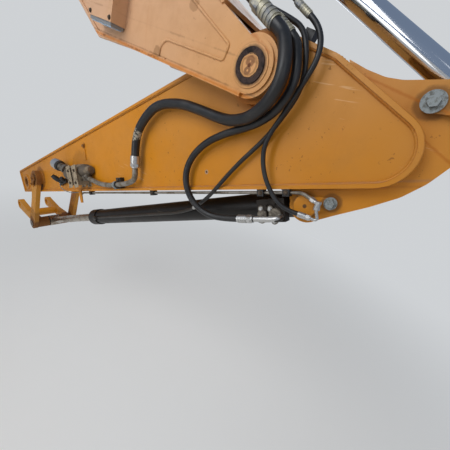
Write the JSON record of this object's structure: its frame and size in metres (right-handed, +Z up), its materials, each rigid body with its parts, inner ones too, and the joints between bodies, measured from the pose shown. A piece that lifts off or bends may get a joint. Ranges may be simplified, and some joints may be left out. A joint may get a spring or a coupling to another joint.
{
  "type": "excavator working arm",
  "caption": "Front boom and folded stick of a wheeled excavator, with hydraulic cylinders, tool linkage, hoses and pipes.",
  "frame": {"origin": "centre of the boom root bore, on its mid-plane", "axes": "+Z up as the arm is parked, +X from the boom root towards the stick pivot, +Y across the arm along the root bore, away from the hose side"},
  "size_m": [3.8647, 0.6012, 3.4396],
  "materials": {
    "yellow_paint": "worn yellow paint with rust at the pins",
    "dark_paint": "dark, dirty paint",
    "hose_rubber": "dull black rubber cover",
    "chrome": "polished hard chrome",
    "pin_steel": "bare steel, dull",
    "rusty_steel": "brown rust",
    "zinc": "zinc plated, weathered",
    "black_plastic": "matt black"
  },
  "bodies": {
    "boom": {"boom_bottom_plate": "yellow_paint", "boom_closing_plate": "yellow_paint", "boom_foot_ears": "yellow_paint", "boom_hose_crimps": "zinc", "boom_nose_cheeks": "yellow_paint", "boom_pipe_clamps": "black_plastic", "boom_pipes": "zinc", "boom_root_boss": "yellow_paint", "boom_side_plates": "yellow_paint", "boom_top_plate": "yellow_paint", "hose_a": "hose_rubber", "hose_b": "hose_rubber", "hose_c": "hose_rubber", "hose_d": "hose_rubber", "lamp_guard": "yellow_paint", "lift_foot_pin": "pin_steel", "pivot_pin_collars": "rusty_steel", "stick_pivot_pin": "yellow_paint", "work_lamp": "black_plastic"},
    "stick": {"drain_tube": "zinc", "keeper_bolts": "zinc", "lift_eye_pin_ends": "pin_steel", "pin_keepers": "yellow_paint", "rear_fitting": "zinc", "rocker_pivot_boss": "yellow_paint", "scallop_plates": "yellow_paint", "shutoff_valve": "rusty_steel", "stick_clamps": "black_plastic", "stick_hose_crimps": "zinc", "stick_nose_boss": "yellow_paint", "stick_pivot_boss": "yellow_paint", "stick_rear_ears": "yellow_paint", "stick_side_plates": "yellow_paint", "stick_tabs": "yellow_paint", "stick_top_plate": "yellow_paint", "stick_wrapper": "yellow_paint", "test_port": "black_plastic", "tool_foot_pin": "pin_steel", "valve_cap": "zinc", "valve_pipe": "zinc"},
    "lift_barrel": {"lift_barrel": "yellow_paint", "lift_gland": "yellow_paint", "lift_pipes": "zinc"},
    "lift_rod": {"lift_rod": "chrome", "lift_eye_pin": "pin_steel"},
    "tool_barrel": {"tool_barrel": "dark_paint", "tool_gland": "dark_paint", "tool_port_block": "dark_paint", "tool_hose_crimps": "zinc", "tool_pipes": "dark_paint"},
    "tool_rod": {"tool_rod": "chrome", "tool_eye_pin": "pin_steel"},
    "rockers": {"rockers": "yellow_paint", "rocker_end_pins": "pin_steel", "rocker_keepers": "yellow_paint", "rocker_pivot_pin": "pin_steel"},
    "tool_link": {"tool_link": "yellow_paint"}
  },
  "joints": [
    {"name": "stick_swing", "type": "hinge", "parent": "boom", "child": "stick", "pos_m": [2.60176, 0, -1.3687], "axis": [0, -1, 0], "range_deg": [0, 105], "deforming": ["hose_a", "hose_b", "hose_c", "hose_d"]},
    {"name": "lift_cylinder_swing", "type": "hinge", "parent": "boom", "child": "lift_barrel", "pos_m": [0.69174, 0, 0.1299], "axis": [0, -1, 0], "range_deg": [-0.5, 4.25]},
    {"name": "lift_cylinder_stroke", "type": "slide", "parent": "lift_barrel", "child": "lift_rod", "axis": [0.8697, 0, -0.4936], "range_m": [-1.1079, 0.005]},
    {"name": "rocker_swing", "type": "hinge", "parent": "stick", "child": "rockers", "pos_m": [0.30839, 0, -2.556], "axis": [0, -1, 0], "range_deg": [0, 80]},
    {"name": "tool_cylinder_swing", "type": "hinge", "parent": "stick", "child": "tool_barrel", "pos_m": [2.93815, 0, -1.79213], "axis": [0, -1, 0], "range_deg": [-0.5, 0.98]},
    {"name": "tool_cylinder_stroke", "type": "slide", "parent": "tool_barrel", "child": "tool_rod", "axis": [-0.8991, 0, -0.4378], "range_m": [-0.8055, 0.005]},
    {"name": "tool_link_swing", "type": "hinge", "parent": "rockers", "child": "tool_link", "pos_m": [0.14369, 0, -3.15274], "axis": [0, -1, 0], "range_deg": [-64.31, 1]}
  ],
  "couplings": [
    {"joint": "lift_cylinder_swing", "follows": "stick_swing", "ratio": 0.035706},
    {"joint": "lift_cylinder_stroke", "follows": "stick_swing", "m_per_rad": -0.59911},
    {"joint": "tool_cylinder_swing", "follows": "rocker_swing", "ratio": 0.0059816},
    {"joint": "tool_cylinder_stroke", "follows": "rocker_swing", "m_per_rad": -0.56975},
    {"joint": "tool_link_swing", "follows": "rocker_swing", "ratio": -0.79131}
  ]
}
